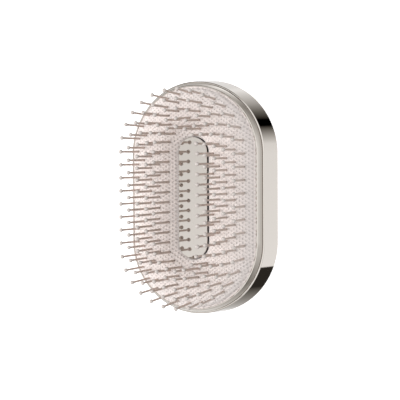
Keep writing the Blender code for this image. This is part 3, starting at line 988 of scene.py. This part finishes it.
class BRUSH_OT_stage(bpy.types.Operator):
    """Sets up the pale floor, the soft studio light and the camera"""
    bl_idname = "brush.stage"
    bl_label = "Stage"

    def floor(self, stage):
        """A wide pale floor that the metal doesn't mirror."""
        half = stage.floor_width / 2
        mesh = bpy.data.meshes.new("studio_floor")
        outline = [(-half, -half, 0), (half, -half, 0), (half, half, 0), (-half, half, 0)]
        mesh.from_pydata(outline, [], [(0, 1, 2, 3)])
        mesh.materials.append(pale_floor("pale floor", stage.floor_level))
        floor = new_object("studio_floor", mesh)
        floor.visible_glossy = False

    def cards_light(self, tree):
        """What polished surfaces mirror: white, less or more where the cards stand."""
        heading = tree.nodes.new("ShaderNodeSeparateXYZ")
        tree.links.new(tree.nodes.new("ShaderNodeTexCoord").outputs["Generated"], heading.inputs[0])
        turn = calculate(tree, "ARCTAN2", heading.outputs["Y"], heading.outputs["X"])
        turn = calculate(tree, "DEGREES", turn)
        tilt = calculate(tree, "DEGREES", calculate(tree, "ARCCOSINE", heading.outputs["Z"]))
        level = 1.0
        for centre, half, before, after, low, high, soft_low, soft_high, change in CARDS:
            mask = place_group(tree, "studio card", build_studio_card, Turn=turn, Tilt=tilt,
                               Centre=centre, Half_Width=half, Soft_Before=before, Soft_After=after,
                               Low=low, High=high, Soft_Low=soft_low, Soft_High=soft_high)
            step = calculate(tree, "MULTIPLY_ADD", mask.outputs["Mask"], change, 1.0)
            level = calculate(tree, "MULTIPLY", level, step)
        light = tree.nodes.new("ShaderNodeCombineColor")
        for channel, power in zip(light.inputs, FALL):
            tree.links.new(calculate(tree, "POWER", level, power), channel)
        return light.outputs[0]

    def studio(self, stage):
        """White to the camera, an even fill for matt surfaces, the cards for polished ones."""
        world = bpy.data.worlds.new("studio")
        bpy.context.scene.world = world
        world.use_nodes = True
        tree = world.node_tree
        path = tree.nodes.new("ShaderNodeLightPath").outputs
        fill = opaque((stage.fill,) * 3)
        light = blend_colours(tree, path["Is Glossy Ray"], fill, self.cards_light(tree))
        seen = calculate(tree, "MAXIMUM", path["Is Camera Ray"], path["Is Transmission Ray"])
        light = blend_colours(tree, seen, light, WHITE)
        supply(tree, tree.nodes["Background"], Color=light, Strength=1.0)

    def lamp(self, name, heading, power, size):
        """A square lamp that shines on the brush and isn't mirrored in it."""
        light = bpy.data.lights.new(name, "AREA")
        light.energy = power
        light.size = size
        lamp = new_object(name, light)
        away = Vector(heading).normalized()
        lamp.location = away * bpy.context.scene.brush_stage.lamp_distance
        lamp.rotation_euler = away.to_track_quat("Z", "Y").to_euler()
        lamp.visible_glossy = False
        lamp.visible_camera = False

    def camera(self, stage):
        """The camera, right of straight above the brush and far away."""
        data = bpy.data.cameras.new("camera")
        data.lens = stage.lens
        data.sensor_width = SENSOR_WIDTH
        turn = (Matrix.Rotation(stage.yaw, 4, "Y") @ Matrix.Rotation(-stage.pitch, 4, "X")
                @ Matrix.Rotation(stage.roll, 4, "Z"))
        offset = Vector((stage.shift_x, stage.shift_y, stage.reach))
        place = turn @ offset + Vector((0, 0, seam_height()))
        camera = new_object("camera", data)
        camera.matrix_world = Matrix.Translation(place) @ turn
        bpy.context.scene.camera = camera

    def execute(self, context):
        stage = context.scene.brush_stage
        self.floor(stage)
        self.studio(stage)
        self.lamp("key", KEY_HEADING, stage.key_power, stage.key_size)
        self.lamp("top", TOP_HEADING, stage.top_power, stage.top_size)
        self.camera(stage)
        context.scene.view_settings.view_transform = "Standard"
        return {"FINISHED"}


# ---------------------------------------------------------------- panel and registration


class BRUSH_PT_panel(bpy.types.Panel):
    """Lists the steps that build the brush and its sizes and finishes"""
    bl_label = "Cushion Brush"
    bl_idname = "BRUSH_PT_panel"
    bl_space_type = "VIEW_3D"
    bl_region_type = "UI"
    bl_category = "Brush"

    def draw(self, context):
        for step in STEPS:
            self.layout.operator(step.bl_idname)
        for label in GROUPS:
            box = self.layout.box()
            group = getattr(context.scene, label)
            for prop in group.bl_rna.properties:
                if prop.identifier not in {"rna_type", "name"}:
                    box.prop(group, prop.identifier)


STEPS = (BRUSH_OT_shell, BRUSH_OT_bezel, BRUSH_OT_plate, BRUSH_OT_cushion, BRUSH_OT_pins,
         BRUSH_OT_inside, BRUSH_OT_stage)


def register():
    for label, group in GROUPS.items():
        bpy.utils.register_class(group)
        setattr(bpy.types.Scene, label, bpy.props.PointerProperty(type=group))
    for step in STEPS:
        bpy.utils.register_class(step)
    bpy.utils.register_class(BRUSH_PT_panel)


def unregister():
    bpy.utils.unregister_class(BRUSH_PT_panel)
    for step in reversed(STEPS):
        bpy.utils.unregister_class(step)
    for label, group in reversed(GROUPS.items()):
        delattr(bpy.types.Scene, label)
        bpy.utils.unregister_class(group)


def main():
    register()
    bpy.ops.brush.shell()
    bpy.ops.brush.bezel()
    bpy.ops.brush.plate()
    bpy.ops.brush.cushion()
    bpy.ops.brush.pins()
    bpy.ops.brush.inside()
    bpy.ops.brush.stage()


if __name__ == "__main__":
    main()
